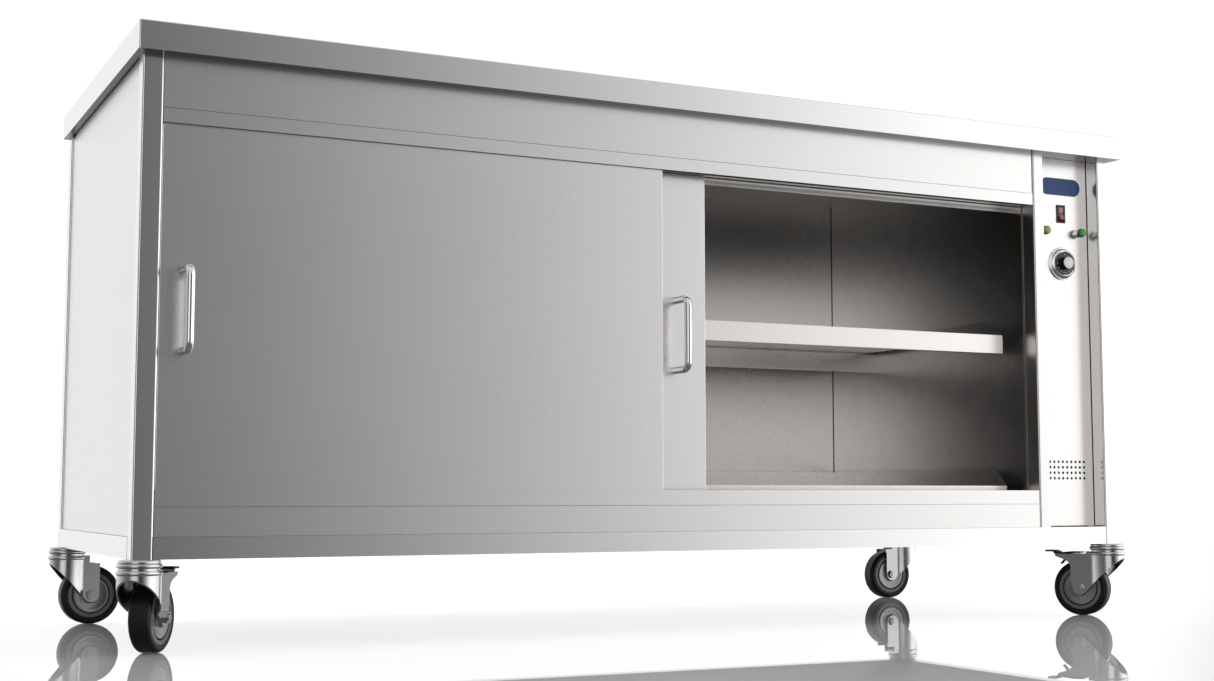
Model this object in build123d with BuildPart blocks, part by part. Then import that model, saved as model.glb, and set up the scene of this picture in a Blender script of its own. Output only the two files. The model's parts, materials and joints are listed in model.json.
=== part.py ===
"""Mobile food holding cabinet: a heated hot cupboard with two sliding doors on four castors.

Everything is placed with x measured from the body's left face, y from the legs' front face
and z from the floor; slab(), at() and the castor planes turn that into the row's own frame,
whose origin is on the floor under the middle of the whole cabinet.
"""

import os
from math import cos, radians, sin

from build123d import *

# ---------------------------------------------------------------- driving dimensions (mm)
BODY_W = 1780.0  # outside of the legs
BODY_D = 665.0
FRAME_TOP = 845.0
CASTOR_H = 132.0
LEG = 30.0
RAIL_TOP = 163.0
SHEET = 1.0

TOP_W = 1800.0
TOP_THICK = 42.0
TOP_FRONT = 22.0  # overhang in front of the legs
TOP_SHEET = 1.5
TOP_FLANGE = 60.0

POST_X = (1598.0, 1623.0)
POST_D = 33.0
CAVITY_X = (32.5, 1596.6)
CAVITY_BACK = 655.0
CORNER_GAP = 2.2  # open joint between the right wall and the back of the cavity
CEILING = 843.8
BASE = 164.8

SILL = 229.0  # top of the bottom track
TRACK_STRIP = 205.0  # bottom edge of the track's front face
HEAD = 748.5  # bottom edge of the top track
TRACK_X = (30.4, 1596.2)
STRIP_X = (30.4, 1597.6)  # front faces of the tracks and of the lower fascia
HEAD_TOP = 769.2
SLOT = 12.0

DOOR_W = 803.0
DOOR_Z = (225.0, 749.3)
DOOR_T = 19.0
FRONT_DOOR = (31.3, 6.0)  # left edge, face
REAR_DOOR = (123.5, 30.0)
HANDLE_Z = 481.5
HANDLE_PITCH = 115.0
HANDLE_R = 6.0
HANDLE_OUT = 38.0
HANDLE_BEND = 13.0

SHELF_X = (60.0, 1568.0)
SHELF_Y = (58.0, 640.0)
SHELF_Z = 512.5
SHELF_LIP = 33.5
SHELF_UPSTAND = 28.8
DECK_X = (58.0, 1571.0)
DECK_Z = 237.5
DECK_UPSTAND = 31.2
CORNER_CUT = 32.0
RAIL_Z = 507.0  # top of the cross rails under the shelf
RAIL_D = 20.0

PANEL_X = (1623.6, 1749.0)
PANEL_Y = 29.0
CONTROL_X = 1687.0
SWITCH_Z = 742.0
LAMP_Z = 707.3
LAMP_X = (1642.0, 1726.0)
DIAL_Z = 648.5
ROCKER_TILT = 10.0

WHEEL_R = 50.0
WHEEL_W = 32.0
HUB_R = 38.4
AXLE_R = 5.0
RUNNING = 0.05
FORK_T = 2.5
FORK_HALF = 20.0  # outside of the fork's side plates from the wheel's middle plane
BARREL_R = 30.5
FORK_TOP = 117.5
PLATE_TOP = 112.0
PEDAL_PIVOT = (70.0, 106.5)  # along the trail and up, in the castor's upright plane
PIN_R = 3.0
PIN_REACH = 18.7  # half the pedal pin, which ends inside the side plates
# name: (x, y, direction the wheel trails in degrees, trail, has a brake)
CASTORS = {
    "front_left": (15.0, 15.0, 56.5, 47.0, True),
    "front_right": (1765.0, 15.0, 120.5, 47.0, True),
    "rear_left": (15.0, 650.0, 4.0, 38.0, False),
    "rear_right": (1765.0, 650.0, 178.8, 38.0, False),
}

GLAND = (1690.0, 215.0)  # x, z on the back
GLAND_OUT = 22.0
BACK_FACE = 664.5

# the row's origin: middle of the overall box, on the floor
FRONT_MOST = FRONT_DOOR[1] - HANDLE_OUT - HANDLE_R
BACK_MOST = BACK_FACE + GLAND_OUT
X0 = -BODY_W / 2
Y0 = -(FRONT_MOST + BACK_MOST) / 2


# ---------------------------------------------------------------- helpers
def at(x, y, z):
    """A point of the cabinet in the row's frame."""
    return (X0 + x, Y0 + y, z)


def slab(x, y, z, mode=Mode.ADD):
    """A box between two x, two y and two z values, in the part being built."""
    with Locations(at((x[0] + x[1]) / 2, (y[0] + y[1]) / 2, (z[0] + z[1]) / 2)):
        Box(x[1] - x[0], y[1] - y[0], z[1] - z[0], mode=mode)


def tube(x, y, z, along, wall=1.5):
    """A square-cornered hollow section between two corners, open at its two ends."""
    slab(x, y, z)
    outside = {"x": x, "y": y, "z": z}
    inside = {name: (low + wall, high - wall) for name, (low, high) in outside.items()}
    inside[along] = outside[along]
    slab(inside["x"], inside["y"], inside["z"], mode=Mode.SUBTRACT)


def front_plane(y):
    """Sketch plane facing forward at depth y: its own x runs right and its own y up."""
    return Plane(origin=at(0, y, 0), x_dir=(1, 0, 0), z_dir=(0, -1, 0))


def save(built, name):
    """Label a finished piece and write it out under its own name."""
    built.part.label = name
    export_step(built.part, f"parts/{name}.step")


os.makedirs("parts", exist_ok=True)

# ---------------------------------------------------------------- worktop
top_x = (-(TOP_W - BODY_W) / 2, BODY_W + (TOP_W - BODY_W) / 2)
top_y = (-TOP_FRONT, BODY_D)
top_z = (FRAME_TOP, FRAME_TOP + TOP_THICK)
with BuildPart() as worktop:
    slab(top_x, top_y, top_z)
    fillet(worktop.edges().filter_by(Axis.Z), radius=2.5)
    fillet(worktop.faces().sort_by(Axis.Z)[-1].edges(), radius=2.0)
    inside_x = (top_x[0] + TOP_SHEET, top_x[1] - TOP_SHEET)
    inside_y = (top_y[0] + TOP_SHEET, top_y[1] - TOP_SHEET)
    slab(inside_x, inside_y, (top_z[0] + TOP_SHEET, top_z[1] - TOP_SHEET), mode=Mode.SUBTRACT)
    open_x = (top_x[0] + TOP_FLANGE, top_x[1] - TOP_FLANGE)
    open_y = (top_y[0] + TOP_FLANGE, top_y[1] - TOP_FLANGE)
    slab(open_x, open_y, (top_z[0], top_z[0] + TOP_SHEET), mode=Mode.SUBTRACT)
save(worktop, "worktop")

# ---------------------------------------------------------------- frame
with BuildPart() as legs:
    with BuildSketch(Plane.XY.offset(CASTOR_H)):
        leg_spots = [at(x, y, 0)[:2] for x, y, *_ in CASTORS.values()]
        with Locations(*leg_spots):
            RectangleRounded(LEG, LEG, 3)
            RectangleRounded(LEG - 3, LEG - 3, 1.5, mode=Mode.SUBTRACT)
    extrude(amount=FRAME_TOP - CASTOR_H)
save(legs, "legs")

right_leg = BODY_W - LEG
rear_leg = BODY_D - LEG
with BuildPart() as bottom_rails:
    tube((LEG, right_leg), (0.0, LEG), (CASTOR_H, RAIL_TOP), "x")
    tube((LEG, right_leg), (rear_leg, BODY_D), (CASTOR_H, RAIL_TOP), "x")
    tube((0.0, LEG), (LEG, rear_leg), (CASTOR_H, RAIL_TOP), "y")
    tube((right_leg, BODY_W), (LEG, rear_leg), (CASTOR_H, RAIL_TOP), "y")
save(bottom_rails, "bottom_rails")

with BuildPart() as top_rails:
    rail_z = (FRAME_TOP - LEG, FRAME_TOP)
    tube((LEG, POST_X[0]), (3.0, 33.0), rail_z, "x")
    slab((LEG, right_leg), (656.5, 663.0), rail_z)
    tube((5.0, LEG), (33.3, rear_leg), rail_z, "y")
    tube((right_leg, 1775.0), (33.3, rear_leg), rail_z, "y")
save(top_rails, "top_rails")

with BuildPart() as door_post:
    with BuildSketch(Plane.XY.offset(RAIL_TOP)):
        with Locations(at(sum(POST_X) / 2, POST_D / 2, 0)[:2]):
            RectangleRounded(POST_X[1] - POST_X[0], POST_D, 3)
            RectangleRounded(POST_X[1] - POST_X[0] - 3, POST_D - 3, 1.5, mode=Mode.SUBTRACT)
    extrude(amount=FRAME_TOP - RAIL_TOP)
save(door_post, "door_post")

# ---------------------------------------------------------------- front: fascias and door tracks
with BuildPart() as upper_fascia:
    slab((STRIP_X[0], 1592.0), (1.5, 2.7), (HEAD_TOP + 0.6, FRAME_TOP))
    slab((1590.8, STRIP_X[1]), (2.7, 3.9), (HEAD_TOP + 0.6, FRAME_TOP - LEG - 0.3))
save(upper_fascia, "upper_fascia")

with BuildPart() as lower_fascia:
    slab(STRIP_X, (1.5, 2.7), (RAIL_TOP + 0.3, TRACK_STRIP - 0.5))
    slab(STRIP_X, (2.7, 18.0), (TRACK_STRIP - 1.7, TRACK_STRIP - 0.5))
save(lower_fascia, "lower_fascia")

front_mid = FRONT_DOOR[1] + DOOR_T / 2
rear_mid = REAR_DOOR[1] + DOOR_T / 2
with BuildPart() as top_track:
    slab(STRIP_X, (1.5, 2.7), (HEAD, HEAD_TOP))
    slab(TRACK_X, (2.7, 56.0), (HEAD_TOP - 1.2, HEAD_TOP))
    slab(TRACK_X, (27.0, 28.2), (HEAD + 1.5, HEAD_TOP))
    slab(TRACK_X, (54.8, 56.0), (741.0, CEILING - 0.5))
    lip_z = (HEAD + 1.5, HEAD + 2.7)
    slab(TRACK_X, (2.7, front_mid - SLOT / 2), lip_z)
    slab(TRACK_X, (front_mid + SLOT / 2, rear_mid - SLOT / 2), lip_z)
    slab(TRACK_X, (rear_mid + SLOT / 2, 54.8), lip_z)
save(top_track, "top_track")

with BuildPart() as bottom_track:
    slab(STRIP_X, (1.5, 2.7), (TRACK_STRIP, SILL))
    slab(TRACK_X, (2.7, 52.0), (SILL - 8.0, SILL - 6.8))
    slab(TRACK_X, (27.0, 28.2), (SILL - 6.8, SILL))
    slab(TRACK_X, (52.0, 53.2), (TRACK_STRIP, SILL))
save(bottom_track, "bottom_track")

# ---------------------------------------------------------------- outer panels
with BuildPart() as side_panels:
    slab((3.0, 4.0), (LEG, rear_leg), (RAIL_TOP + 0.4, FRAME_TOP - 4.0))
    slab((1776.0, 1777.0), (LEG, rear_leg), (RAIL_TOP + 0.4, FRAME_TOP - 4.0))
save(side_panels, "side_panels")

with BuildPart() as back_panel:
    between_legs = (LEG + 0.4, right_leg - 0.4)
    slab(between_legs, (BACK_FACE - SHEET, BACK_FACE), (RAIL_TOP + 0.4, FRAME_TOP - 1.0))
    with Locations(Location(at(GLAND[0], BACK_FACE, GLAND[1]), (90, 0, 0))):
        Cylinder(10.2, 8, mode=Mode.SUBTRACT)
save(back_panel, "back_panel")

with BuildPart() as base_panel:
    slab(between_legs, (LEG + 0.4, rear_leg - 0.4), (CASTOR_H + 0.6, CASTOR_H + 1.6))
save(base_panel, "base_panel")

# ---------------------------------------------------------------- inner liners
ELEMENT_Y = (180.0, 300.0, 420.0, 540.0)
ELEMENT_Z = 195.0
ELEMENT_R = 4.0
BULB_Y = 130.0
BULB_Z = 215.0


def wall_holes():
    """Holes through the cavity's right wall for the element's ends and the thermostat's capillary."""
    passages = (
        (ELEMENT_Y[0], ELEMENT_Z, 4.6),
        (ELEMENT_Y[-1], ELEMENT_Z, 4.6),
        (BULB_Y, BULB_Z, 2.0),
    )
    for y, z, r in passages:
        with Locations(Location(at(POST_X[0] + 12, y, z), (0, 90, 0))):
            Cylinder(r, 60, mode=Mode.SUBTRACT)


with BuildPart() as liner_sides:
    slab((CAVITY_X[0] - SHEET, CAVITY_X[0]), (57.0, CAVITY_BACK), (BASE + 0.2, CEILING))
    right_y = (POST_D + 0.3, CAVITY_BACK - CORNER_GAP)
    slab((CAVITY_X[1], POST_X[0]), right_y, (BASE + 0.2, CEILING))
    wall_holes()
save(liner_sides, "liner_sides")

with BuildPart() as liner_back:
    liner_x = (CAVITY_X[0] - SHEET, POST_X[0])
    slab(liner_x, (CAVITY_BACK, CAVITY_BACK + SHEET), (BASE + 0.2, CEILING))
save(liner_back, "liner_back")

with BuildPart() as liner_top:
    slab(liner_x, (56.2, CAVITY_BACK + SHEET), (CEILING, CEILING + SHEET))
save(liner_top, "liner_top")

with BuildPart() as liner_base:
    slab((LEG + 0.5, right_leg - 0.5), (46.0, CAVITY_BACK), (BASE - SHEET, BASE))
save(liner_base, "liner_base")

with BuildPart() as insulation:
    slab((5.0, LEG), (LEG + 1, rear_leg - 1), (RAIL_TOP + 3, FRAME_TOP - LEG - 1))
    slab((31.0, 1749.0), (656.4, 663.2), (RAIL_TOP + 3, FRAME_TOP - LEG - 1))
    slab((31.0, 1749.0), (31.0, 634.0), (134.4, RAIL_TOP - 0.2))
    slab((open_x[0] + 0.5, open_x[1] - 0.5), (open_y[0] + 0.5, open_y[1] - 0.5), (FRAME_TOP + 0.2, 885.0))
    slab((1599.8, 1622.6), (POST_D + 9, 654.0), (BASE + 0.4, CEILING - 0.4))
    wall_holes()
    with Locations(Location(at(GLAND[0], 660, GLAND[1]), (90, 0, 0))):
        Cylinder(16, 20, mode=Mode.SUBTRACT)
save(insulation, "insulation")


# ---------------------------------------------------------------- deck and shelf
def build_tray(name, x, y, top, down, up, rear_lip):
    """Sheet shelf: turned-down front lip with a return, and upstands with cut front corners."""
    with BuildPart() as tray:
        slab(x, y, (top - SHEET, top))
        slab(x, (y[0], y[0] + SHEET), (top - down, top))
        slab(x, (y[0], y[0] + 17), (top - down, top - down + SHEET))
        slab(x, (y[1] - SHEET, y[1]), (top - SHEET, top + up))
        if rear_lip:
            slab(x, (y[1] - SHEET, y[1]), (top - down, top))
            slab(x, (y[1] - 17, y[1]), (top - down, top - down + SHEET))
        for side in (x[0], x[1] - SHEET):
            with BuildSketch(Plane(origin=at(side, 0, 0), x_dir=(0, 1, 0), z_dir=(1, 0, 0))):
                with BuildLine():
                    Polyline(
                        (y[0], top - SHEET),
                        (y[0] + CORNER_CUT, top + up),
                        (y[1], top + up),
                        (y[1], top - SHEET),
                        close=True,
                    )
                make_face()
            extrude(amount=SHEET)
    save(tray, name)


build_tray("mid_shelf", SHELF_X, SHELF_Y, SHELF_Z, SHELF_LIP, SHELF_UPSTAND, rear_lip=False)
build_tray("deck", DECK_X, SHELF_Y, DECK_Z, DECK_Z - BASE - 0.3, DECK_UPSTAND, rear_lip=True)

with BuildPart() as support_brackets:
    # cross rails from wall to wall, each with a narrower packing strip that the shelf lies on
    for y, low in ((110.0, 485.0), (493.0, 474.0)):
        tube(CAVITY_X, (y, y + RAIL_D), (low, RAIL_Z), "x")
        slab(CAVITY_X, (y + 13, y + RAIL_D - 2), (RAIL_Z, SHELF_Z - SHEET - 0.2))
    for x in (320.0, 820.0, 1320.0):
        slab((x, x + 12), (150.0, 570.0), (BASE, ELEMENT_Z - ELEMENT_R - 0.2))
save(support_brackets, "support_brackets")

# ---------------------------------------------------------------- heating element
with BuildPart() as heating_element:
    far, turn = 160.0, 1480.0
    with BuildLine() as element_path:
        FilletPolyline(
            at(POST_X[1] + 14, ELEMENT_Y[0], ELEMENT_Z),
            at(far, ELEMENT_Y[0], ELEMENT_Z),
            at(far, ELEMENT_Y[1], ELEMENT_Z),
            at(turn, ELEMENT_Y[1], ELEMENT_Z),
            at(turn, ELEMENT_Y[2], ELEMENT_Z),
            at(far, ELEMENT_Y[2], ELEMENT_Z),
            at(far, ELEMENT_Y[3], ELEMENT_Z),
            at(POST_X[1] + 14, ELEMENT_Y[3], ELEMENT_Z),
            radius=50.0,
        )
    start = Plane(origin=element_path.line @ 0, z_dir=element_path.line % 0)
    with BuildSketch(start):
        Circle(ELEMENT_R)
    sweep()
save(heating_element, "heating_element")


# ---------------------------------------------------------------- sliding doors
def build_door(name, left, face):
    """One double-skinned door: outer pan, inner skin, hangers and guides, and a bow handle."""
    x = (left, left + DOOR_W)
    mid = face + DOOR_T / 2
    with BuildPart() as outer:
        slab(x, (face, face + DOOR_T - SHEET), DOOR_Z)
        fillet(outer.faces().sort_by(Axis.Y)[0].edges(), radius=1.2)
        hollow_x = (x[0] + SHEET, x[1] - SHEET)
        hollow_z = (DOOR_Z[0] + SHEET, DOOR_Z[1] - SHEET)
        slab(hollow_x, (face + SHEET, face + DOOR_T), hollow_z, mode=Mode.SUBTRACT)
    save(outer, f"{name}_outer")

    with BuildPart() as inner:
        slab(x, (face + DOOR_T - SHEET, face + DOOR_T), DOOR_Z)
    save(inner, f"{name}_inner")

    with BuildPart() as hangers:
        for offset in (-290.0, 290.0):
            middle = sum(x) / 2 + offset
            span = (middle - 30, middle + 30)
            slab(span, (mid - 5, mid + 5), (DOOR_Z[1], HEAD + 6))
            slab(span, (mid - 9, mid + 9), (HEAD + 4.5, HEAD + 16))
            slab(span, (mid - 7, mid + 7), (SILL - 5.5, DOOR_Z[0]))
    save(hangers, f"{name}_hangers")

    handle_x = left + 35.4 if name == "front_door" else left + DOOR_W - 53.5
    with BuildPart() as handle:
        with BuildLine() as bow:
            FilletPolyline(
                at(handle_x, face, HANDLE_Z - HANDLE_PITCH / 2),
                at(handle_x, face - HANDLE_OUT, HANDLE_Z - HANDLE_PITCH / 2),
                at(handle_x, face - HANDLE_OUT, HANDLE_Z + HANDLE_PITCH / 2),
                at(handle_x, face, HANDLE_Z + HANDLE_PITCH / 2),
                radius=HANDLE_BEND,
            )
        with BuildSketch(Plane(origin=bow.line @ 0, z_dir=bow.line % 0)):
            Circle(HANDLE_R)
        sweep()
    save(handle, f"{name}_handle")


build_door("front_door", *FRONT_DOOR)
build_door("rear_door", *REAR_DOOR)

# ---------------------------------------------------------------- control panel
VENT_COLUMNS, VENT_ROWS, VENT_PITCH, VENT_R = 9, 4, 10.0, 2.5
VENT_X, VENT_Z = 1688.0, 266.5
with BuildPart() as control_panel:
    panel_z = (BASE + 0.4, FRAME_TOP - 0.4)
    slab(PANEL_X, (PANEL_Y, PANEL_Y + 1.2), panel_z)
    for edge in (PANEL_X[0], PANEL_X[1] - 1.2):
        slab((edge, edge + 1.2), (PANEL_Y + 1.2, PANEL_Y + 16), panel_z)
    cutout_z = (SWITCH_Z - 15.6, SWITCH_Z + 15.6)
    slab((CONTROL_X - 8.6, CONTROL_X + 8.6), (28.0, 31.0), cutout_z, mode=Mode.SUBTRACT)
    with BuildSketch(front_plane(PANEL_Y - 1)):
        with Locations(*[(x, LAMP_Z) for x in LAMP_X]):
            Circle(5.05)
        with Locations((CONTROL_X, DIAL_Z)):
            Circle(6.0)
        with Locations((VENT_X, VENT_Z)):
            with GridLocations(VENT_PITCH, VENT_PITCH, VENT_COLUMNS, VENT_ROWS):
                Circle(VENT_R)
    extrude(amount=-3, mode=Mode.SUBTRACT)
save(control_panel, "control_panel")

with BuildPart() as name_plate:
    with BuildSketch(front_plane(PANEL_Y)):
        with Locations((CONTROL_X, 793.0)):
            RectangleRounded(93, 32, 15.9)
    extrude(amount=1.2)
    fillet(name_plate.faces().sort_by(Axis.Y)[0].edges(), radius=0.5)
save(name_plate, "name_plate")

with BuildPart() as switch_frame:
    rim_z = (SWITCH_Z - 16.8, SWITCH_Z + 16.8)
    slab((CONTROL_X - 9.5, CONTROL_X + 9.5), (PANEL_Y - 2.4, PANEL_Y), rim_z)
    fillet(switch_frame.faces().sort_by(Axis.Y)[0].edges(), radius=0.8)
    housing_z = (SWITCH_Z - 15.5, SWITCH_Z + 15.5)
    slab((CONTROL_X - 8.5, CONTROL_X + 8.5), (PANEL_Y, PANEL_Y + 20), housing_z)
    well_z = (SWITCH_Z - 14.5, SWITCH_Z + 14.5)
    slab((CONTROL_X - 6.8, CONTROL_X + 6.8), (20.0, PANEL_Y + 12), well_z, mode=Mode.SUBTRACT)
save(switch_frame, "switch_frame")

PIVOT_Y = PANEL_Y + 2.5
tilt = radians(ROCKER_TILT)
# sketch plane with x outward and y up, leaning so that the rocker's lower end stands out
pivot = at(CONTROL_X - 6.4, PIVOT_Y, SWITCH_Z)
pivot_plane = Plane(origin=pivot, x_dir=(0, -cos(tilt), sin(tilt)), z_dir=(-1, 0, 0))
with BuildPart() as switch_rocker:
    with BuildSketch(pivot_plane):
        with BuildLine():
            Polyline(
                (6.6, -12.6), (3.6, 0), (6.6, 12.6), (4.0, 13.4), (-3.0, 10), (-3.0, -10), (4.0, -13.4),
                close=True,
            )
        make_face()
    extrude(amount=-12.8)
save(switch_rocker, "switch_rocker")

with BuildPart() as lamp_bodies:
    for lamp_x in LAMP_X:
        with BuildSketch(Plane(origin=at(lamp_x, PANEL_Y, LAMP_Z), x_dir=(1, 0, 0), z_dir=(0, 0, -1))):
            # x is the radius and y runs forward out of the panel
            with BuildLine():
                Polyline(
                    (0, -22), (4.9, -22), (4.9, 0), (6.1, 0), (6.1, 8.8), (7.6, 8.8), (8.2, 9.4),
                    (8.2, 11.6), (7.8, 12.0), (0, 12.0), close=True,
                )
            make_face()
        revolve(axis=Axis(at(lamp_x, 0, LAMP_Z), (0, -1, 0)))
save(lamp_bodies, "lamp_bodies")

for lens_name, lamp_x in zip(("lamp_lens_amber", "lamp_lens_green"), LAMP_X):
    with BuildPart() as lens:
        with BuildSketch(front_plane(PANEL_Y - 12.0)):
            with Locations((lamp_x, LAMP_Z)):
                RegularPolygon(7.3, 12, major_radius=True)
        extrude(amount=6.5)
        chamfer(lens.faces().sort_by(Axis.Y)[0].edges(), length=2.2)
    save(lens, lens_name)

# ---------------------------------------------------------------- thermostat
dial_side = Plane(origin=at(CONTROL_X, PANEL_Y, DIAL_Z), x_dir=(1, 0, 0), z_dir=(0, 0, -1))
dial_axis = Axis(at(CONTROL_X, 0, DIAL_Z), (0, -1, 0))
with BuildPart() as thermostat_bezel:
    with BuildSketch(dial_side):
        with BuildLine():
            Polyline((30.5, 0), (30.5, 2.2), (29.7, 3.0), (28.4, 3.2), (28.0, 3.6))
            ThreePointArc((28.0, 3.6), (26.2, 7.0), (22.6, 9.0))
            Polyline((22.6, 9.0), (22.0, 8.4), (21.8, 2.0), (8.0, 2.0), (8.0, 0), (30.5, 0))
        make_face()
    revolve(axis=dial_axis)
save(thermostat_bezel, "thermostat_bezel")

with BuildPart() as thermostat_dial:
    with BuildSketch(dial_side):
        with BuildLine():
            Polyline(
                (0, 2.6), (20.8, 2.6), (21.2, 8.0), (20.6, 8.6), (11.8, 8.6), (11.2, 18.2), (10.6, 18.8),
                (0, 18.8), close=True,
            )
        make_face()
    revolve(axis=dial_axis)
    with BuildSketch(front_plane(PANEL_Y - 2.6)):
        with Locations((CONTROL_X, DIAL_Z)):
            Circle(3.0)
    extrude(amount=-9.0)
save(thermostat_dial, "thermostat_dial")

with BuildPart() as thermostat_body:
    slab((CONTROL_X - 18, CONTROL_X + 18), (PANEL_Y + 9, PANEL_Y + 34), (DIAL_Z - 22, DIAL_Z + 22))
    slab((CONTROL_X - 5.5, CONTROL_X + 5.5), (PANEL_Y + 1.3, PANEL_Y + 9), (DIAL_Z - 14, DIAL_Z - 5))
    with BuildSketch(front_plane(PANEL_Y + 8)):
        with Locations((CONTROL_X, DIAL_Z)):
            Circle(3.05)
    extrude(amount=-8.0, mode=Mode.SUBTRACT)
    with BuildLine() as capillary:
        FilletPolyline(
            at(CONTROL_X, PANEL_Y + 22, DIAL_Z - 21.5),
            at(CONTROL_X, PANEL_Y + 22, BULB_Z),
            at(CONTROL_X, BULB_Y, BULB_Z),
            at(CAVITY_X[1] - 6, BULB_Y, BULB_Z),
            at(CAVITY_X[1] - 6, BULB_Y + 40, BULB_Z),
            radius=5.0,
        )
    with BuildSketch(Plane(origin=capillary.line @ 0, z_dir=capillary.line % 0)):
        Circle(1.2)
    sweep()
    with Locations(Location(at(CAVITY_X[1] - 6, BULB_Y + 80, BULB_Z), (90, 0, 0))):
        Cylinder(3.2, 90)
save(thermostat_body, "thermostat_body")

# ---------------------------------------------------------------- electrical connection
with BuildPart() as terminal_block:
    slab((CONTROL_X - 30, CONTROL_X + 30), (560.0, 582.0), (BASE, BASE + 24))
    with Locations(at(CONTROL_X, 571, BASE + 24)):
        with GridLocations(12, 10, 4, 2):
            Cylinder(3, 12, mode=Mode.SUBTRACT)
save(terminal_block, "terminal_block")

with BuildPart() as cable_gland:
    with BuildSketch(Plane(origin=at(GLAND[0], BACK_FACE, GLAND[1]), x_dir=(1, 0, 0), z_dir=(0, 0, 1))):
        # x is the radius and y runs back, away from the cabinet
        with BuildLine():
            Polyline(
                (4.5, -8), (10, -8), (10, 0), (14, 0), (14, 6), (12.5, 7), (12.5, 15), (11, 18),
                (7, GLAND_OUT), (4.5, GLAND_OUT), close=True,
            )
        make_face()
    revolve(axis=Axis(at(GLAND[0], 0, GLAND[1]), (0, 1, 0)))
save(cable_gland, "cable_gland")


# ---------------------------------------------------------------- castors
def castor_planes(x, y, heading):
    """Floor plane with x along the trail, and the upright plane through the wheel's middle."""
    c, s = cos(radians(heading)), sin(radians(heading))
    floor = Plane(origin=at(x, y, 0), x_dir=(c, s, 0), z_dir=(0, 0, 1))
    upright = Plane(origin=at(x, y, 0), x_dir=(c, s, 0), z_dir=(s, -c, 0))
    return floor, upright


def wheel_frame(floor, trail):
    """The axle's middle as an origin, and the axle's axis."""
    middle = floor.from_local_coords((trail, 0, WHEEL_R))
    radial = Plane(origin=middle, x_dir=floor.x_dir, z_dir=(0, 0, 1))
    return radial, Axis(middle, floor.y_dir)


with BuildPart() as castor_heads:
    for x, y, heading, trail, braked in CASTORS.values():
        spindle = Plane(origin=at(x, y, 0), x_dir=(1, 0, 0), z_dir=(0, -1, 0))
        with BuildSketch(spindle):
            with BuildLine():
                Polyline((0, 110.5), (9, 110.5), (9, 114.2), (5, 114.2), (5, 117.8), (28, 117.8), (28, 120.0))
                ThreePointArc((28, 120.0), (31.5, 123.4), (29.2, 126.6))
                ThreePointArc((29.2, 126.6), (29.6, 129.4), (27.5, 131.6))
                Polyline(
                    (27.5, 131.6), (26.5, CASTOR_H), (10, CASTOR_H), (10, CASTOR_H + 48),
                    (0, CASTOR_H + 48), (0, 110.5),
                )
            make_face()
        revolve(axis=Axis(at(x, y, 0), (0, 0, 1)))
save(castor_heads, "castor_heads")


def build_fork(name, floor, upright, trail, braked):
    """Pressed fork: a barrel round the spindle running into two side plates, cut on a slant."""
    plate_end = trail + (15.5 if braked else 13.0)
    tail = 91.0 if braked else plate_end
    low = 30.0
    with BuildPart() as fork:
        with BuildSketch(floor.offset(low)):
            Circle(BARREL_R)
            with Locations((tail / 2, 0)):
                Rectangle(tail, 2 * FORK_HALF)
        extrude(amount=FORK_TOP - low)
        with BuildSketch(floor.offset(low)):
            Circle(BARREL_R - FORK_T)
            with Locations((tail / 2 + 1, 0)):
                Rectangle(tail + 2, 2 * (FORK_HALF - FORK_T))
        extrude(amount=FORK_TOP - FORK_T - low, mode=Mode.SUBTRACT)
        # side view: slanting front edge, rounded nose under the axle, upright rear edge
        nose = 12.5
        lean = radians(42)
        toe = (trail - nose * cos(lean), WHEEL_R - nose * sin(lean))
        with BuildSketch(upright) as outline:
            with BuildLine():
                Polyline(
                    (BARREL_R + 3, FORK_TOP), (-BARREL_R - 3, FORK_TOP), (-BARREL_R - 3, 107.0),
                    (-BARREL_R, 105.0), toe,
                )
                ThreePointArc(toe, (trail + 1, WHEEL_R - nose), (trail + nose, WHEEL_R - 1))
                if braked:
                    Polyline((trail + nose, WHEEL_R - 1), (plate_end, 66), (plate_end, 90))
                    ThreePointArc((plate_end, 90), (plate_end + 6, 98.5), (plate_end + 15, 103))
                    Polyline(
                        (plate_end + 15, 103), (tail, 107.5), (tail, PLATE_TOP), (BARREL_R + 3, PLATE_TOP),
                        (BARREL_R + 3, FORK_TOP),
                    )
                else:
                    Polyline(
                        (trail + nose, WHEEL_R - 1), (plate_end, 66), (plate_end, 104), (BARREL_R + 3, 104),
                        (BARREL_R + 3, FORK_TOP),
                    )
            make_face()
        extrude(amount=BARREL_R + 4, both=True, mode=Mode.INTERSECT)
        # raised bead round the head, and the holes for the spindle and the axle
        with BuildSketch(Plane(origin=floor.origin, x_dir=floor.x_dir, z_dir=-floor.y_dir)):
            with BuildLine():
                Polyline((BARREL_R - FORK_T, 110.5), (BARREL_R, 110.5))
                ThreePointArc((BARREL_R, 110.5), (32.0, 114.0), (29.0, FORK_TOP))
                Polyline((29.0, FORK_TOP), (BARREL_R - FORK_T, FORK_TOP), (BARREL_R - FORK_T, 110.5))
            make_face()
        revolve(axis=Axis(floor.origin, (0, 0, 1)))
        with Locations(floor * Location((0, 0, FORK_TOP))):
            Cylinder(5 + RUNNING, 12, mode=Mode.SUBTRACT)
        with Locations(floor * Location((trail, 0, WHEEL_R), (90, 0, 0))):
            Cylinder(AXLE_R, 60, mode=Mode.SUBTRACT)
        if braked:
            with Locations(floor * Location((PEDAL_PIVOT[0], 0, PEDAL_PIVOT[1]), (90, 0, 0))):
                Cylinder(PIN_R + RUNNING, 2 * PIN_REACH + 0.2, mode=Mode.SUBTRACT)
    save(fork, f"{name}_fork")


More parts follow.
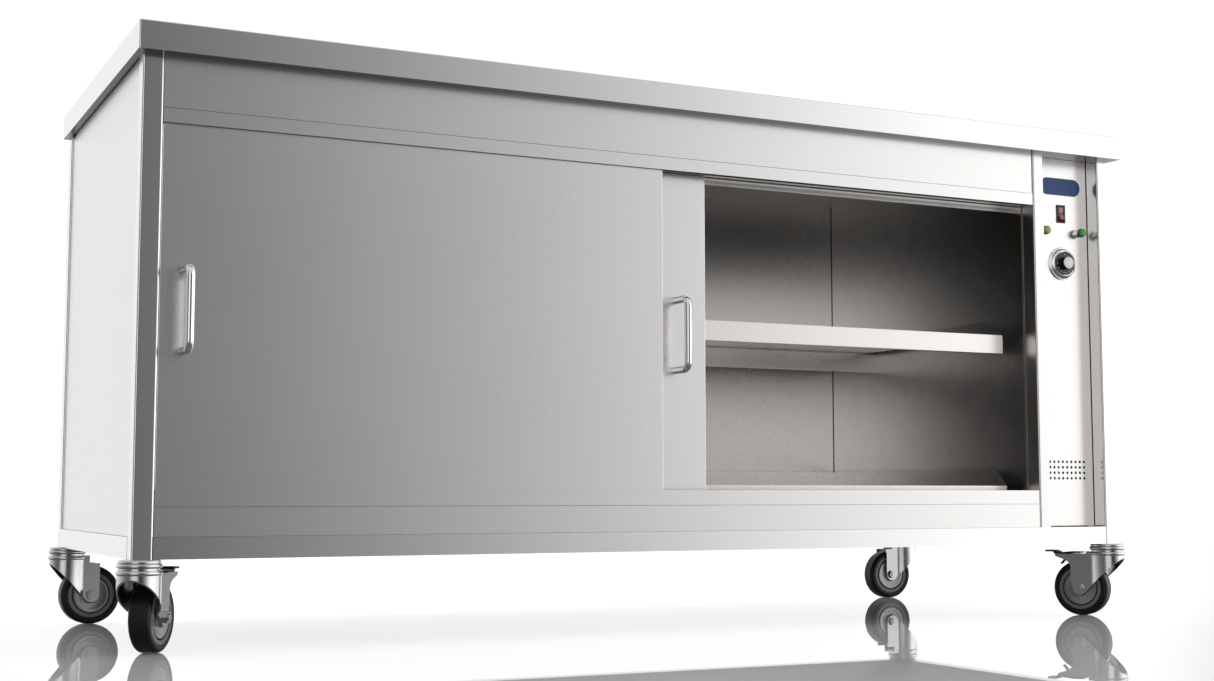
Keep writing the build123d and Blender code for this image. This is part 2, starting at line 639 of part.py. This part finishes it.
def build_axle(name, floor, trail):
    """Axle bolt: plain shank, hexagon head on one side and a nut on the other."""
    with BuildPart() as axle:
        with Locations(floor * Location((trail, 0, WHEEL_R), (90, 0, 0))):
            Cylinder(AXLE_R, 2 * FORK_HALF + 15)
        for side in (-1, 1):
            face = floor.from_local_coords((trail, side * FORK_HALF, WHEEL_R))
            with BuildSketch(Plane(origin=face, x_dir=floor.x_dir, z_dir=floor.y_dir * side)):
                RegularPolygon(7.8, 6, major_radius=False)
            extrude(amount=5.5)
    save(axle, f"{name}_axle")


def build_wheel(name, floor, trail):
    """Disc wheel: a hub with a dished web and a groove, and a tyre round its rim."""
    radial, spin = wheel_frame(floor, trail)
    # half section: x is the radius, y the distance from the wheel's middle plane
    section_plane = Plane(origin=radial.origin, x_dir=(0, 0, 1), z_dir=floor.x_dir)
    bore = AXLE_R + RUNNING
    half = [
        (bore, 0), (bore, 17), (12, 17), (14, 12.5), (28.8, 14.5), (30, 13.5), (30.2, 8), (32.2, 8),
        (32.5, 14.6), (HUB_R, 15.2), (HUB_R, 0),
    ]
    with BuildPart() as hub:
        with BuildSketch(section_plane):
            with BuildLine():
                Polyline(*half)
                Polyline(*[(r, -y) for r, y in half])
            make_face()
        revolve(axis=spin)
    save(hub, f"{name}_hub")

    with BuildPart() as tyre:
        with BuildSketch(section_plane):
            with BuildLine():
                edge = WHEEL_W / 2
                shoulder = 7.0
                Line((HUB_R, -edge + 0.6), (HUB_R, edge - 0.6))
                side = WHEEL_R - shoulder
                tread = edge - shoulder
                Line((HUB_R, edge - 0.6), (side, edge))
                ThreePointArc((side, edge), (WHEEL_R - 2.2, edge - 2.0), (WHEEL_R, tread))
                Line((WHEEL_R, tread), (WHEEL_R, -tread))
                ThreePointArc((WHEEL_R, -tread), (WHEEL_R - 2.2, -edge + 2.0), (side, -edge))
                Line((side, -edge), (HUB_R, -edge + 0.6))
            make_face()
        revolve(axis=spin)
    save(tyre, f"{name}_tyre")


def build_pedal(name, upright):
    """Brake pedal: a lever on a pin through the side plates, with a foot tab and a shoe for the tyre."""
    with BuildPart() as pedal:
        with BuildSketch(upright):
            with BuildLine():
                Polyline(
                    (46, 113.6), (66, 113.6), (88, 107.5), (92, 108.5), (97, 115.6), (112, 115.6),
                    (112, 118.6), (95, 118.6), (87, 114.5), (66, 116.6), (46, 116.6), close=True,
                )
            make_face()
        extrude(amount=14.0, both=True)
        with BuildSketch(upright):
            with BuildLine():
                Polyline(
                    (72, 112), (78, 99), (84.5, 92.5), (86.5, 94.5), (81, 100.5), (77.5, 110.5),
                    close=True,
                )
            make_face()
        extrude(amount=4.0, both=True)
        with BuildSketch(upright):
            with BuildLine():
                Polyline((64.5, 113.6), (64.5, 104.5), (67.5, 101.5), (74, 101.5), (79, 110), close=True)
            make_face()
        extrude(amount=10.0, both=True)
        with BuildSketch(upright):
            with Locations(PEDAL_PIVOT):
                Circle(PIN_R)
        extrude(amount=PIN_REACH, both=True)
    save(pedal, f"{name}_pedal")


for spot, (x, y, heading, trail, braked) in CASTORS.items():
    castor = f"castor_{spot}"
    floor_plane, upright_plane = castor_planes(x, y, heading)
    build_fork(castor, floor_plane, upright_plane, trail, braked)
    build_axle(castor, floor_plane, trail)
    build_wheel(castor, floor_plane, trail)
    if braked:
        build_pedal(castor, upright_plane)
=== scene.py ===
"""Looks of the mobile food holding cabinet: materials, small detailed pieces, light and camera."""

import json
from math import cos, pi, radians, sin

import bmesh
import bpy
from mathutils import Matrix, Vector


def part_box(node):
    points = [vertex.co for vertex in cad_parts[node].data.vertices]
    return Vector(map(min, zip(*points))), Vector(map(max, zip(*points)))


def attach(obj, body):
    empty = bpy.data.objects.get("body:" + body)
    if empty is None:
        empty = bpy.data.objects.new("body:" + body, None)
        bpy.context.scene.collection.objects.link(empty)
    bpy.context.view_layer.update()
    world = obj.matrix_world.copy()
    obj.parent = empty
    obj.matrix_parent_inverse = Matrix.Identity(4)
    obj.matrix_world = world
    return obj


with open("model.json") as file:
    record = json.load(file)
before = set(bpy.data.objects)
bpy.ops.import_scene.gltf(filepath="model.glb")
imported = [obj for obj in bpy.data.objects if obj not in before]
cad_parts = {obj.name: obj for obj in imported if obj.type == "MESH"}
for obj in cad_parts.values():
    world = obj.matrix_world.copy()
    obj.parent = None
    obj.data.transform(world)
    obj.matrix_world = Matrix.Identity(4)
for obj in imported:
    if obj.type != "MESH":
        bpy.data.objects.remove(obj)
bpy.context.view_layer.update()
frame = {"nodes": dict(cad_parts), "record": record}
nodes = frame["nodes"]
record = frame["record"]

CAMERA = (-1.3357, -2.70865, 0.2232)
CAMERA_YAW = 0.4582  # to the right of +Y
CAMERA_PITCH = 0.0906  # upwards
CASTORS = ("front_left", "front_right", "rear_left", "rear_right")
FORWARD = Vector((0, -1, 0))
BACKWARD = Vector((0, 1, 0))


# ---------------------------------------------------------------- material helpers
MIX_FIRST, MIX_SECOND, MIX_RESULT = 6, 7, 2  # colour sockets of a Mix node


def add_node(tree, kind, inputs=None, **settings):
    """A new shader node in a tree, each input linked from a socket or set to a value."""
    made = tree.nodes.new(f"ShaderNode{kind}")
    for setting, value in settings.items():
        setattr(made, setting, value)
    for socket, value in (inputs or {}).items():
        if isinstance(value, bpy.types.NodeSocket):
            tree.links.new(value, made.inputs[socket])
        else:
            made.inputs[socket].default_value = value
    return made


def mixed(tree, factor, first, second):
    """A colour between first and second, each an output socket or (red, green, blue)."""
    inputs = {0: factor}
    for socket, colour in ((MIX_FIRST, first), (MIX_SECOND, second)):
        inputs[socket] = colour if isinstance(colour, bpy.types.NodeSocket) else (*colour, 1.0)
    return add_node(tree, "Mix", inputs, data_type="RGBA").outputs[MIX_RESULT]


class Surface:
    """A node material with one Principled shader, and short calls for the nodes that feed it."""

    def __init__(self, name, **sockets):
        self.material = bpy.data.materials.new(name)
        self.material.use_nodes = True
        self.tree = self.material.node_tree
        self.shader = self.tree.nodes["Principled BSDF"]
        for socket, value in sockets.items():
            self.shader.inputs[socket.replace("_", " ")].default_value = value
        self.place = self.tree.nodes.new("ShaderNodeTexCoord").outputs["Object"]

    def node(self, kind, inputs=None, **settings):
        return add_node(self.tree, kind, inputs, **settings)

    def noise(self, cells, detail=2.0, rough=0.5):
        """Noise with that many cells per metre, one number or one each along x, y and z."""
        stretch = cells if isinstance(cells, tuple) else (cells, cells, cells)
        stretched = self.node("Mapping", {"Vector": self.place, "Scale": stretch})
        inputs = {"Vector": stretched.outputs[0], "Scale": 1.0, "Detail": detail, "Roughness": rough}
        return self.node("TexNoise", inputs).outputs["Fac"]

    def between(self, value, low, high, start=0.3, end=0.7):
        """value remapped so that start gives low and end gives high."""
        inputs = {"Value": value, "From Min": start, "From Max": end, "To Min": low, "To Max": high}
        return self.node("MapRange", inputs).outputs[0]

    def add(self, first, second):
        return self.node("Math", {0: first, 1: second}, operation="ADD").outputs[0]

    def tint(self, factor, first, second):
        return mixed(self.tree, factor, first, second)

    def feed(self, socket, value):
        self.tree.links.new(value, self.shader.inputs[socket])

    def bump(self, height, distance, strength=1.0):
        made = self.node("Bump", {"Height": height, "Distance": distance, "Strength": strength})
        self.feed("Normal", made.outputs[0])


def scaled(colour, factor):
    return tuple(channel * factor for channel in colour)


def steel(name, colour, rough, brush, grain=0.015, smudge=0.012, depth=0.000004, painted_underside_shade=1.0):
    """Satin stainless steel; brush is the cells per metre of its grain along x, y and z.

    The last argument scales the colour of faces that look down, as painted shade under a sheet.
    """
    made = Surface(name, Metallic=1.0)
    fine = made.noise(brush, 2.0, 0.6)
    cloud = made.noise(1.7, 3.0, 0.5)
    marks = made.noise(23.0, 5.0, 0.65)
    mix = made.add(made.between(fine, -0.5, 0.5), made.between(cloud, -0.3, 0.3))
    body = made.tint(made.between(mix, 0.0, 1.0, -0.8, 0.8), scaled(colour, 0.97), scaled(colour, 1.03))
    # painted shade: faces that look down take a darker colour
    if painted_underside_shade < 1.0:
        facing = made.node("SeparateXYZ", {0: made.node("NewGeometry").outputs["True Normal"]}).outputs[2]
        body = made.tint(made.between(facing, 0.0, 1.0, -0.9, -0.6), scaled(colour, painted_underside_shade), body)
    made.feed("Base Color", body)
    wear = made.add(made.between(cloud, -smudge, smudge), made.between(marks, -smudge / 3, smudge / 3))
    made.feed("Roughness", made.add(made.between(fine, rough - grain, rough + grain), wear))
    made.bump(fine, depth, 0.5)
    return made.material


def plastic(name, colour, rough, speckle=0.06, cells=900.0, depth=0.00003, **sockets):
    """Moulded plastic, rubber or paint with a fine texture."""
    made = Surface(name, **sockets)
    fine = made.noise(cells, 2.0, 0.5)
    wear = made.noise(35.0, 4.0, 0.6)
    made.feed("Base Color", made.tint(wear, scaled(colour, 0.86), scaled(colour, 1.14)))
    rougher = made.add(made.between(fine, rough - speckle, rough + speckle), made.between(wear, -0.05, 0.05))
    made.feed("Roughness", rougher)
    made.bump(fine, depth, 0.5)
    return made.material


def metal(name, colour, rough, spread=0.03, cells=220.0, depth=0.000004, **sockets):
    """Plated, cast or polished metal with slight haze and wear."""
    made = Surface(name, Metallic=1.0, **sockets)
    haze = made.noise(cells, 4.0, 0.6)
    made.feed("Base Color", made.tint(haze, scaled(colour, 0.95), scaled(colour, 1.04)))
    made.feed("Roughness", made.between(haze, max(0.02, rough - spread), rough + spread))
    made.bump(haze, depth, 0.3)
    return made.material


def turned(name, colour, rough, pitch, **sockets):
    """A disc turned on a lathe: fine rings round the piece's own z axis and a radial sheen."""
    made = Surface(name, **sockets)
    flat = made.node("VectorMath", {0: made.place, 1: (1.0, 1.0, 0.0)}, operation="MULTIPLY")
    radius = made.node("VectorMath", {0: flat.outputs[0]}, operation="LENGTH").outputs["Value"]
    ring = made.node("Math", {0: radius, 1: 2 * pi / pitch}, operation="MULTIPLY").outputs[0]
    wave = made.node("Math", {0: ring}, operation="SINE").outputs[0]
    haze = made.noise(90.0, 3.0, 0.5)
    made.feed("Base Color", made.tint(haze, scaled(colour, 0.93), scaled(colour, 1.06)))
    grooves = made.between(wave, -0.02, 0.02, -1.0, 1.0)
    made.feed("Roughness", made.add(grooves, made.between(haze, rough - 0.03, rough + 0.03)))
    made.feed("Tangent", made.node("Tangent", direction_type="RADIAL", axis="Z").outputs[0])
    made.bump(wave, 0.000004, 0.4)
    return made.material


# cells per metre of brushed grain that runs along x, and along z
ALONG_X = (500.0, 2200.0, 2200.0)
ALONG_Z = (2200.0, 2200.0, 500.0)
STEEL = (0.75, 0.735, 0.722)
LINER = (0.74, 0.717, 0.70)

materials = {
    # the worktop's underside gets painted shade: its downward faces are darkened to 0.05 of the colour
    "steel_worktop": steel("satin_worktop", STEEL, 0.19, ALONG_X, painted_underside_shade=0.05),
    "steel_frame": steel("satin_tube", STEEL, 0.18, ALONG_Z),
    "steel_panel": steel("satin_panel", STEEL, 0.285, ALONG_X),
    "steel_liner": steel("satin_liner", LINER, 0.27, ALONG_X),
    "insulation_wool": plastic("mineral_wool", (0.5, 0.4, 0.17), 0.95, 0.03, 500.0, 0.001),
    "element_sheath": metal("element_sheath", (0.2, 0.18, 0.17), 0.42, 0.08, 300.0),
    "plate_blue": plastic(
        "plate_blue", (0.02, 0.07, 0.23), 0.3, 0.04, 1500.0, 0.00001, Specular_IOR_Level=0.3
    ),
    "black_plastic": plastic("black_plastic", (0.018, 0.018, 0.019), 0.38),
    "lens_amber": plastic("lens_amber", (0.32, 0.3, 0.02), 0.12, 0.03, Coat_Weight=0.6),
    "lens_green": plastic("lens_green", (0.01, 0.36, 0.012), 0.2, 0.03, Coat_Weight=0.1),
    "chrome_trim": metal("chrome_trim", (0.88, 0.88, 0.89), 0.06, 0.02),
    "thermostat_metal": metal("thermostat_metal", (0.6, 0.6, 0.6), 0.4),
    "terminal_plastic": plastic("terminal_plastic", (0.78, 0.76, 0.7), 0.5),
    "zinc": metal("zinc_plate", (0.58, 0.58, 0.585), 0.23, 0.03),
    "rocker_red": plastic("rocker_red", (0.23, 0.006, 0.01), 0.22, 0.03, Coat_Weight=0.3),
    "dial_black": plastic("dial_black", (0.012, 0.012, 0.013), 0.3),
    "nylon": plastic("nylon", (0.85, 0.84, 0.8), 0.45),
    "hub_grey": plastic("hub_grey", (0.17, 0.17, 0.17), 0.35, 0.04, 700.0),
    "tyre_black": plastic(
        "tyre_black", (0.008, 0.008, 0.008), 0.42, 0.05, 700.0, 0.00004, Specular_IOR_Level=0.25
    ),
    "pedal_black": plastic("pedal_black", (0.012, 0.012, 0.012), 0.36),
}
cap_metal = turned("turned_cap", (0.5, 0.5, 0.5), 0.34, 0.0005, Metallic=1.0, Anisotropic=0.7)
hub_face = turned("hub_face", (0.34, 0.34, 0.345), 0.32, 0.0009, Metallic=0.75, Anisotropic=0.85)
print_white = plastic("print_white", (0.72, 0.72, 0.7), 0.5, 0.04, 2500.0, 0.000004)
plate_rim = plastic("plate_rim", (0.02, 0.05, 0.14), 0.22, 0.03, 1500.0, 0.00001)

for entry in record["subparts"]:
    shape = nodes[entry["node"]]
    shape.data.materials.clear()
    shape.data.materials.append(materials[entry["material_slot"]])
# painted shade under the cabinet: the bottom sheet's colour is darkened to 0.3 of the steel's, with a
# rougher, more mottled finish
nodes["base_panel"].data.materials[0] = steel("mill_base_painted_shade", scaled(STEEL, 0.3), 0.5, ALONG_X, 0.04, 0.06)
# painted shade inside the cavity: the ceiling's colour is darkened to 0.45 of the liner's, and it is rougher
nodes["liner_top"].data.materials[0] = steel("dull_ceiling_painted_shade", scaled(LINER, 0.45), 0.4, ALONG_X, 0.03, 0.04)
nodes["door_post"].data.materials[0] = steel("satin_post", STEEL, 0.3, ALONG_Z)


# ---------------------------------------------------------------- piece helpers
def frame_at(place, axis):
    """A matrix whose z axis points along axis, with its x axis as level as it can be."""
    z = Vector(axis).normalized()
    x = BACKWARD.cross(z) if abs(z.z) > 0.9 else z.cross(Vector((0, 0, -1)))
    x.normalize()
    turn = Matrix((x, z.cross(x), z)).transposed()
    return Matrix.Translation(place) @ turn.to_4x4()


def piece(name, mesh, material, body, place=None, angle=35):
    """Puts a mesh in the scene as a piece of the object, riding on a body."""
    made = bpy.data.objects.new(name, mesh)
    bpy.context.scene.collection.objects.link(made)
    made.matrix_world = place or Matrix.Identity(4)
    mesh.materials.clear()
    mesh.materials.append(material)
    mesh.shade_smooth()
    mesh.set_sharp_from_angle(angle=radians(angle))
    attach(made, body)
    return made


def to_mesh(name, shape):
    """A finished bmesh as mesh data with its normals outwards."""
    bmesh.ops.remove_doubles(shape, verts=shape.verts, dist=1e-6)
    bmesh.ops.recalc_face_normals(shape, faces=shape.faces)
    mesh = bpy.data.meshes.new(name)
    shape.to_mesh(mesh)
    shape.free()
    return mesh


def lathe(name, outline, turns=96):
    """A closed outline of (radius, height) in mm turned round z."""
    shape = bmesh.new()
    rings = []
    for step in range(turns):
        angle = 2 * pi * step / turns
        ring = [shape.verts.new((r * cos(angle) / 1000, r * sin(angle) / 1000, h / 1000)) for r, h in outline]
        rings.append(ring)
    count = len(outline)
    for step, ring in enumerate(rings):
        after = rings[(step + 1) % turns]
        for i in range(count):
            j = (i + 1) % count
            if outline[i][0] > 0 or outline[j][0] > 0:
                shape.faces.new((ring[i], ring[j], after[j], after[i]))
    return to_mesh(name, shape)


def flat_plate(shape, points, height):
    """Adds a prism of the given outline and height, in metres, standing on z = 0."""
    low = [shape.verts.new((x, y, 0.0)) for x, y in points]
    high = [shape.verts.new((x, y, height)) for x, y in points]
    shape.faces.new(low)
    shape.faces.new(high)
    for i in range(len(points)):
        j = (i + 1) % len(points)
        shape.faces.new((low[i], low[j], high[j], high[i]))


def middle(node):
    low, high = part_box(node)
    return (low + high) / 2


# ---------------------------------------------------------------- rocker switch marks
def facet(upper):
    """A matrix on the rocker's upper or lower front facet. The front is dished: the upper one looks down."""
    total, centre, normal = 0.0, Vector(), Vector()
    for face in nodes["switch_rocker"].data.polygons:
        if face.normal.y < -0.8 and (face.normal.z < 0) == upper:
            total += face.area
            centre += face.center * face.area
            normal += face.normal * face.area
    return frame_at(centre / total, normal)


MARK_HEIGHT = 0.00012
RING_INNER, RING_OUTER = 2.5, 3.7  # mm
BAR_HALF_WIDTH, BAR_HALF_LENGTH = 0.0007, 0.0038
ring_height = MARK_HEIGHT * 1000
ring_outline = [(RING_INNER, 0.0), (RING_OUTER, 0.0), (RING_OUTER, ring_height), (RING_INNER, ring_height)]
off_ring = lathe("switch_mark_off", ring_outline, 64)
piece("switch_mark_off", off_ring, print_white, "switch_rocker", facet(True))
bar = bmesh.new()
flat_plate(
    bar,
    [
        (-BAR_HALF_WIDTH, -BAR_HALF_LENGTH),
        (BAR_HALF_WIDTH, -BAR_HALF_LENGTH),
        (BAR_HALF_WIDTH, BAR_HALF_LENGTH),
        (-BAR_HALF_WIDTH, BAR_HALF_LENGTH),
    ],
    MARK_HEIGHT,
)
on_bar = to_mesh("switch_mark_on", bar)
piece("switch_mark_on", on_bar, print_white, "switch_rocker", facet(False))

# ---------------------------------------------------------------- thermostat: printed scale and metal cap
DIAL_TIP = 0.0102  # from the end of the knob back to the face of its disc
SCALE_R = 0.0176
# degrees round the dial, anticlockwise from its right: the number printed there
SCALE = {182: "30", 212: "40", 239: "50", 262: "60", 282: "70", 303: "80", 320: "90"}
NUMBER_SIZE = 0.0036
PRINT_HEIGHT = 0.00006
POINTER = [(-0.0011, 0.0158), (0.0011, 0.0158), (0.0, 0.0196)]
CAP_OUTLINE = [
    (0, -0.1), (10.5, -0.1), (10.9, -0.6), (11.3, -0.6), (11.3, 0.1),
    (10.9, 0.45), (9.8, 0.5), (9.5, 0.3), (0, 0.55),
]
dial_middle = middle("thermostat_dial")
knob_end = Vector((dial_middle.x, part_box("thermostat_dial")[0].y, dial_middle.z))
scale = bmesh.new()
for angle, number in SCALE.items():
    lettering = bpy.data.curves.new("number", "FONT")
    lettering.body = number
    lettering.size = NUMBER_SIZE
    lettering.extrude = PRINT_HEIGHT
    lettering.align_x = "CENTER"
    lettering.align_y = "CENTER"
    holder = bpy.data.objects.new("number", lettering)
    number_mesh = bpy.data.meshes.new_from_object(holder)
    spin = Matrix.Rotation(radians(angle), 4, "Z")
    upright = Matrix.Rotation(radians(-90), 4, "Z")
    number_mesh.transform(spin @ Matrix.Translation((SCALE_R, 0, 0)) @ upright)
    scale.from_mesh(number_mesh)
    bpy.data.objects.remove(holder)
flat_plate(scale, POINTER, PRINT_HEIGHT)
disc_face = knob_end + BACKWARD * (DIAL_TIP - 0.00004)  # proud of the disc by a hair, so that it shows
scale_mesh = to_mesh("dial_scale", scale)
piece("dial_scale", scale_mesh, print_white, "thermostat_dial", frame_at(disc_face, FORWARD))

cap = lathe("dial_cap", CAP_OUTLINE)
piece("dial_cap", cap, cap_metal, "thermostat_dial", frame_at(knob_end, FORWARD))

# ---------------------------------------------------------------- pilot lamps: chrome sleeves
SLEEVE_OUTLINE = [
    (6.1, 0.0), (7.3, 0.0), (7.3, 0.5), (6.7, 1.0), (6.5, 1.2), (6.5, 8.2), (6.3, 8.8), (6.1, 8.8),
]
chrome = materials["chrome_trim"]
for lamp in ("amber", "green"):
    lamp_axis = middle(f"lamp_lens_{lamp}")
    face = Vector((lamp_axis.x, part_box("control_panel")[0].y, lamp_axis.z))
    sleeve = lathe(f"lamp_sleeve_{lamp}", SLEEVE_OUTLINE)
    piece(f"lamp_sleeve_{lamp}", sleeve, chrome, "cabinet", frame_at(face, FORWARD))

# ---------------------------------------------------------------- badge rim
plate_low, plate_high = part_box("name_plate")
plate_size = plate_high - plate_low
end_r = plate_size.z / 2
straight = plate_size.x / 2 - end_r


def stadium(inset, steps=24):
    """Points round the badge's outline, moved in by inset."""
    points = []
    for side in (1, -1):
        for step in range(steps + 1):
            angle = -pi / 2 + pi * step / steps
            r = end_r - inset
            points.append((side * (straight + r * cos(angle)), side * r * sin(angle)))
    return points


RIM_OUTER, RIM_INNER, RIM_HEIGHT = 0.0008, 0.0020, 0.0003
rim_section = ((RIM_OUTER, 0.0), (RIM_OUTER, RIM_HEIGHT), (RIM_INNER, RIM_HEIGHT), (RIM_INNER, 0.0))
rim = bmesh.new()
loops = [[rim.verts.new((x, y, z)) for x, y in stadium(inset)] for inset, z in rim_section]
for low_loop, high_loop in zip(loops, loops[1:] + loops[:1]):
    for i in range(len(low_loop)):
        j = (i + 1) % len(low_loop)
        rim.faces.new((low_loop[i], low_loop[j], high_loop[j], high_loop[i]))
plate_front = Vector((middle("name_plate").x, plate_low.y + 0.0001, middle("name_plate").z))
rim_mesh = to_mesh("badge_rim", rim)
piece("badge_rim", rim_mesh, plate_rim, "cabinet", frame_at(plate_front, FORWARD))

# ---------------------------------------------------------------- wheels: turned faces on the hubs
DISH_OUTLINE = [
    (12.3, 12.2), (12.3, 16.6), (12.8, 16.9), (13.6, 15.2), (15.0, 13.5), (18.0, 13.4), (24.0, 13.9),
    (28.6, 14.75), (29.4, 14.6), (29.9, 13.9), (29.9, 13.0), (14.2, 12.2),
]
axes = {joint["name"]: Vector(joint["axis"]) for joint in record["behaviour"]["joints"]}
for spot in CASTORS:
    for side, sign in (("left", -1), ("right", 1)):
        dish = lathe(f"wheel_face_{spot}_{side}", DISH_OUTLINE)
        place = frame_at(middle(f"castor_{spot}_hub"), axes[f"{spot}_roll"] * sign)
        piece(f"wheel_face_{spot}_{side}", dish, hub_face, f"castor_{spot}_wheel", place)

# ---------------------------------------------------------------- rivets along the back panel
RIVET_INSET = 0.012
RIVET_OUTLINE = [(0, 0), (3.2, 0), (3.2, 0.3), (2.6, 0.9), (1.4, 1.3), (0, 1.4)]
GAPS_ACROSS, GAPS_UP = 9, 4
back_low, back_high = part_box("back_panel")
corner = Vector((RIVET_INSET, 0, RIVET_INSET))
first_rivet = back_low + corner
reach = back_high - corner - first_rivet
columns = [first_rivet.x + reach.x * step / GAPS_ACROSS for step in range(GAPS_ACROSS + 1)]
rows = [first_rivet.z + reach.z * step / GAPS_UP for step in range(GAPS_UP + 1)]
spots = [(x, z) for x in columns for z in (rows[0], rows[-1])]
spots += [(x, z) for x in (columns[0], columns[-1]) for z in rows[1:-1]]
rivets = bmesh.new()
rivet_cap = lathe("rivet", RIVET_OUTLINE, 20)
for x, z in spots:
    head = rivet_cap.copy()
    head.transform(frame_at(Vector((x, back_high.y, z)), BACKWARD))
    rivets.from_mesh(head)
rivet_mesh = to_mesh("back_rivets", rivets)
piece("back_rivets", rivet_mesh, materials["zinc"], "cabinet")

# ---------------------------------------------------------------- studio
FLOOR_RADIUS = 25.0
bpy.ops.mesh.primitive_circle_add(vertices=96, radius=FLOOR_RADIUS, fill_type="NGON", location=(0, 0, 0))
floor = bpy.context.active_object
floor.name = "studio_floor"
white = Surface("studio_floor", IOR=1.5)
soft = white.noise(3.0, 3.0)
white.feed("Base Color", white.tint(soft, (0.92, 0.92, 0.92), (0.95, 0.95, 0.95)))
white.feed("Roughness", white.between(soft, 0.002, 0.008))
floor.data.materials.append(white.material)
floor.visible_glossy = False

world = bpy.data.worlds.new("studio")
bpy.context.scene.world = world
world.use_nodes = True
sky = world.node_tree

SKY_PEAK = 2.0
ABOVE = 0.36  # share of the peak, well above the horizon
BELOW = 0.07  # the same, below it
BACKDROP = 0.53  # what the camera sees past the floor
FADE_UP = (0.3, 0.8)  # sines of the heights between which the horizon's light gives way to ABOVE
FADE_DOWN = (-0.06, -0.5)  # the same for BELOW
# degrees round from the front, to the right, and the brightness near the horizon there
ROUND = (
    (-180, 1.06), (-140, 1.05), (-115, 0.7), (-92, 0.28), (-64, 0.14), (-54, 0.3), (-47, 1.15), (-20, 1.05),
    (-14, 0.03), (3, 0.02), (10, 0.16), (20, 0.41), (29, 0.82), (43, 1.76), (60, 2.0), (108, 1.7),
    (117, 0.35), (128, 0.3), (136, 1.3), (172, 1.28), (180, 1.06),
)
way = add_node(sky, "SeparateXYZ", {0: add_node(sky, "TexCoord").outputs["Generated"]})
front = add_node(sky, "Math", {0: way.outputs[1], 1: -1.0}, operation="MULTIPLY")
turn = add_node(sky, "Math", {0: way.outputs[0], 1: front.outputs[0]}, operation="ARCTAN2")
share = add_node(sky, "MapRange", {"Value": turn.outputs[0], "From Min": -pi, "From Max": pi})
ramp = add_node(sky, "ValToRGB", {"Fac": share.outputs[0]})
stops = ramp.color_ramp.elements
while len(stops) < len(ROUND):
    stops.new(0.5)
for stop, (angle, light) in zip(stops, ROUND):
    stop.position = (angle + 180) / 360
    level = light / SKY_PEAK
    stop.color = (level, level, level, 1.0)
colour = ramp.outputs[0]
for (start, end), level in ((FADE_UP, ABOVE), (FADE_DOWN, BELOW)):
    fade = add_node(sky, "MapRange", {"Value": way.outputs[2], "From Min": start, "From Max": end})
    colour = mixed(sky, fade.outputs[0], colour, (level, level, level))
seen = add_node(sky, "LightPath").outputs["Is Camera Ray"]
colour = mixed(sky, seen, colour, (BACKDROP, BACKDROP, BACKDROP))
sky.links.new(colour, sky.nodes["Background"].inputs["Color"])
sky.nodes["Background"].inputs["Strength"].default_value = SKY_PEAK

camera = bpy.data.objects.new("camera", bpy.data.cameras.new("camera"))
bpy.context.scene.collection.objects.link(camera)
camera.location = CAMERA
camera.rotation_euler = (pi / 2 + CAMERA_PITCH, 0.0, -CAMERA_YAW)
camera.data.lens = 50.0
camera.data.sensor_width = 36.0
bpy.context.scene.camera = camera
bpy.context.scene.view_settings.view_transform = "Standard"
